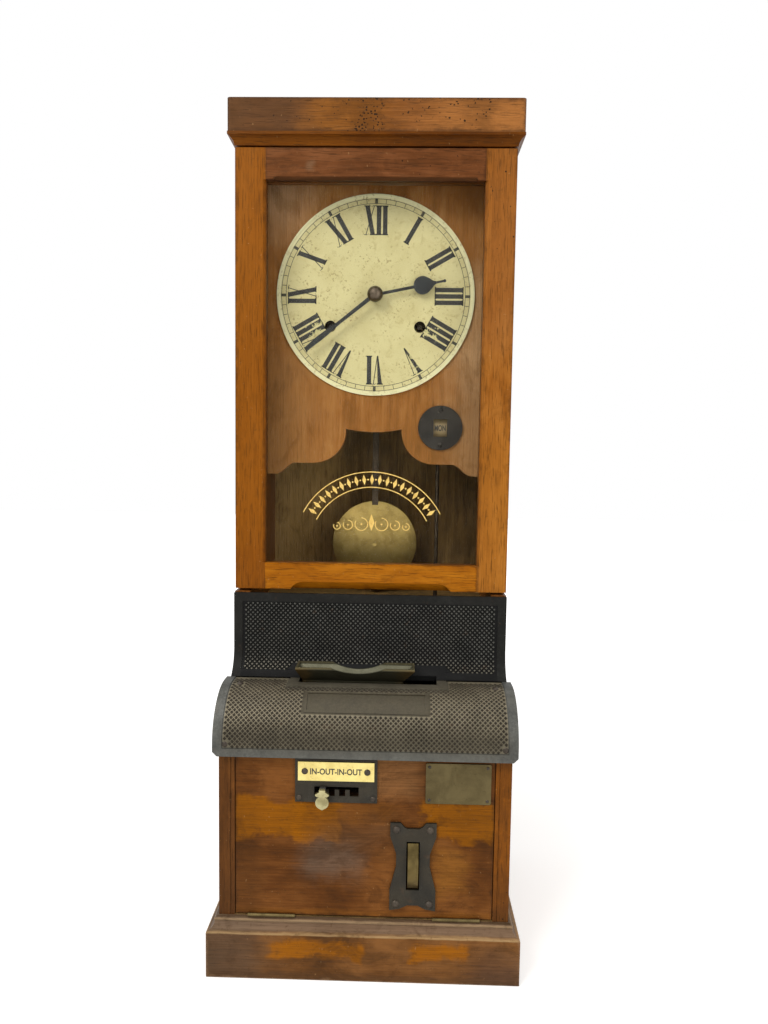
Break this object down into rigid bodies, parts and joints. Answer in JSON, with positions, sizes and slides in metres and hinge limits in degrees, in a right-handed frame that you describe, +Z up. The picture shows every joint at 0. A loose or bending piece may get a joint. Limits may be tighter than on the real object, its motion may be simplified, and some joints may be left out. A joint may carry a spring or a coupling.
{
  "type": "card time recorder",
  "caption": "Tall wooden wall case with a glazed clock door, an iron cover with a card slot and a drop front with a selector and a print lever.",
  "frame": {"origin": "on the floor plane under the middle of the base", "axes": "+Z up, the dial faces -Y, +X is to the right seen from the front"},
  "size_m": [0.344, 0.28, 0.974],
  "materials": {
    "wood_case": "oiled",
    "wood_dark": "oiled",
    "iron_black": "worn black",
    "iron_dark": "dull",
    "brass": "worn",
    "brass_pale": "worn",
    "bronze": "dark patina",
    "steel": "satin",
    "steel_dark": "blued",
    "dial_paint": "aged satin",
    "drum_paint": "aged satin",
    "glass": "clear"
  },
  "bodies": {
    "case": {"plinth_boards": "wood_dark", "bottom_board": "wood_dark", "side_boards": "wood_case", "back_board": "wood_dark", "cornice": "wood_case", "cove_moulding": "wood_case", "shelf_board": "wood_dark", "dial_board": "wood_case", "cover_back_plate": "iron_black", "cover_hood": "iron_black", "cover_screws": "iron_dark", "dial": "dial_paint", "day_escutcheon": "iron_dark", "movement_front_plate": "brass", "movement_back_plate": "brass", "movement_bracket": "iron_dark", "recorder_frame": "iron_dark", "guide_rods": "steel", "case_hinge_leaves": "brass"},
    "door": {"door_stiles": "wood_case", "door_top_rail": "wood_case", "door_bottom_rail": "wood_case", "door_glass": "glass", "glazing_beads": "wood_dark", "door_hinge_leaves": "brass", "door_catch": "brass"},
    "panel": {"drop_panel": "wood_case", "panel_hinge_leaves": "brass", "in_out_plate": "brass_pale", "selector_bracket": "iron_dark", "lever_escutcheon": "iron_dark", "number_plate": "bronze", "panel_screws": "iron_dark", "lever_bracket": "steel"},
    "selector": {"selector_knob": "brass_pale", "selector_slide": "steel"},
    "print_lever": {"print_lever": "brass"},
    "carriage": {"card_funnel": "bronze", "card_chute": "steel"},
    "hands": {"minute_hand": "steel_dark", "centre_arbor": "steel_dark"},
    "hour": {"hour_hand": "steel_dark", "hour_wheel": "brass"},
    "minute_wheel": {"minute_wheel": "brass"},
    "left_barrel": {"left_barrel": "brass"},
    "right_barrel": {"right_barrel": "brass"},
    "escape": {"escape_wheel": "brass"},
    "anchor": {"anchor": "steel"},
    "pendulum": {"pendulum_rod": "steel_dark", "pendulum_bob": "brass"},
    "drive_shaft": {"drive_shaft": "steel"},
    "lay_gear": {"lay_gear": "steel"},
    "type_minutes": {"type_wheel_minutes": "brass"},
    "type_hours": {"type_wheel_hours": "brass"},
    "type_days": {"type_wheel_days": "brass"},
    "hammer": {"print_hammer": "steel"},
    "day_drum": {"day_wheel": "drum_paint"},
    "ribbon_left": {"ribbon_spool_left": "iron_dark"},
    "ribbon_right": {"ribbon_spool_right": "iron_dark"}
  },
  "joints": [
    {"name": "door_hinge", "type": "hinge", "parent": "case", "child": "door", "pos_m": [-0.1612, -0.0248, 0.6], "axis": [0, 0, -1], "range_deg": [0, 110]},
    {"name": "panel_hinge", "type": "hinge", "parent": "case", "child": "panel", "pos_m": [0, -0.13, 0.0674], "axis": [1, 0, 0], "range_deg": [0, 90]},
    {"name": "carriage_slide", "type": "slide", "parent": "case", "child": "carriage", "axis": [1, 0, 0], "range_m": [0, 0.0345]},
    {"name": "selector_slide", "type": "slide", "parent": "panel", "child": "selector", "axis": [1, 0, 0], "range_m": [0, 0.0345]},
    {"name": "print_lever_hinge", "type": "hinge", "parent": "panel", "child": "print_lever", "pos_m": [0.054, -0.098, 0.2255], "axis": [1, 0, 0], "range_deg": [0, 5.3], "stiffness_Nm_per_rad": 3, "springref_deg": -3.44},
    {"name": "hammer_hinge", "type": "hinge", "parent": "case", "child": "hammer", "pos_m": [0, -0.1, 0.088], "axis": [-1, 0, 0], "range_deg": [0, 4.5]},
    {"name": "type_minutes_spin", "type": "hinge", "parent": "case", "child": "type_minutes", "pos_m": [0, -0.0407, 0.175], "axis": [1, 0, 0], "continuous": true},
    {"name": "hands_spin", "type": "hinge", "parent": "case", "child": "hands", "pos_m": [0, 0, 0.7675], "axis": [0, 1, 0], "continuous": true},
    {"name": "hour_spin", "type": "hinge", "parent": "case", "child": "hour", "pos_m": [0, 0, 0.7675], "axis": [0, 1, 0], "continuous": true},
    {"name": "minute_wheel_spin", "type": "hinge", "parent": "case", "child": "minute_wheel", "pos_m": [0.024, 0.016, 0.7675], "axis": [0, 1, 0], "continuous": true},
    {"name": "left_barrel_spin", "type": "hinge", "parent": "case", "child": "left_barrel", "pos_m": [-0.054, 0.04, 0.731], "axis": [0, 1, 0], "continuous": true},
    {"name": "right_barrel_spin", "type": "hinge", "parent": "case", "child": "right_barrel", "pos_m": [0.054, 0.04, 0.731], "axis": [0, 1, 0], "continuous": true},
    {"name": "escape_spin", "type": "hinge", "parent": "case", "child": "escape", "pos_m": [0, 0.048, 0.8095], "axis": [0, 1, 0], "continuous": true},
    {"name": "pendulum_swing", "type": "hinge", "parent": "case", "child": "pendulum", "pos_m": [0, 0.08, 0.8355], "axis": [0, 1, 0], "range_deg": [-3.5, 3.5]},
    {"name": "anchor_rock", "type": "hinge", "parent": "case", "child": "anchor", "pos_m": [0, 0.048, 0.8355], "axis": [0, 1, 0], "range_deg": [-3.5, 3.5]},
    {"name": "drive_shaft_spin", "type": "hinge", "parent": "case", "child": "drive_shaft", "pos_m": [0.081, 0.0483, 0.4], "axis": [0, 0, 1], "continuous": true},
    {"name": "lay_spin", "type": "hinge", "parent": "case", "child": "lay_gear", "pos_m": [0, 0.0483, 0.175], "axis": [1, 0, 0], "continuous": true},
    {"name": "type_hours_spin", "type": "hinge", "parent": "case", "child": "type_hours", "pos_m": [0, -0.0407, 0.175], "axis": [1, 0, 0], "continuous": true},
    {"name": "type_days_spin", "type": "hinge", "parent": "case", "child": "type_days", "pos_m": [-0.0095, -0.0407, 0.175], "axis": [1, 0, 0], "continuous": true},
    {"name": "day_spin", "type": "hinge", "parent": "case", "child": "day_drum", "pos_m": [0.081, 0.0225, 0.6105], "axis": [1, 0, 0], "continuous": true},
    {"name": "ribbon_left_spin", "type": "hinge", "parent": "case", "child": "ribbon_left", "pos_m": [-0.06, -0.055, 0.238], "axis": [0, 1, 0], "continuous": true},
    {"name": "ribbon_right_spin", "type": "hinge", "parent": "case", "child": "ribbon_right", "pos_m": [0.06, -0.055, 0.238], "axis": [0, 1, 0], "continuous": true}
  ],
  "couplings": [
    {"joint": "selector_slide", "follows": "carriage_slide", "ratio": 1},
    {"joint": "hammer_hinge", "follows": "print_lever_hinge", "ratio": 0.84},
    {"joint": "hands_spin", "follows": "type_minutes_spin", "ratio": -1},
    {"joint": "hour_spin", "follows": "type_minutes_spin", "ratio": -0.083333},
    {"joint": "minute_wheel_spin", "follows": "type_minutes_spin", "ratio": 0.33333},
    {"joint": "left_barrel_spin", "follows": "type_minutes_spin", "ratio": 0.25},
    {"joint": "right_barrel_spin", "follows": "type_minutes_spin", "ratio": 0.25},
    {"joint": "escape_spin", "follows": "type_minutes_spin", "ratio": 6},
    {"joint": "drive_shaft_spin", "follows": "type_minutes_spin", "ratio": -1},
    {"joint": "lay_spin", "follows": "type_minutes_spin", "ratio": -1},
    {"joint": "type_hours_spin", "follows": "type_minutes_spin", "ratio": 0.083333},
    {"joint": "type_days_spin", "follows": "type_minutes_spin", "ratio": 0.0059524},
    {"joint": "day_spin", "follows": "type_minutes_spin", "ratio": 0.0059524},
    {"joint": "anchor_rock", "follows": "pendulum_swing", "ratio": 1},
    {"joint": "ribbon_right_spin", "follows": "ribbon_left_spin", "ratio": 1}
  ]
}
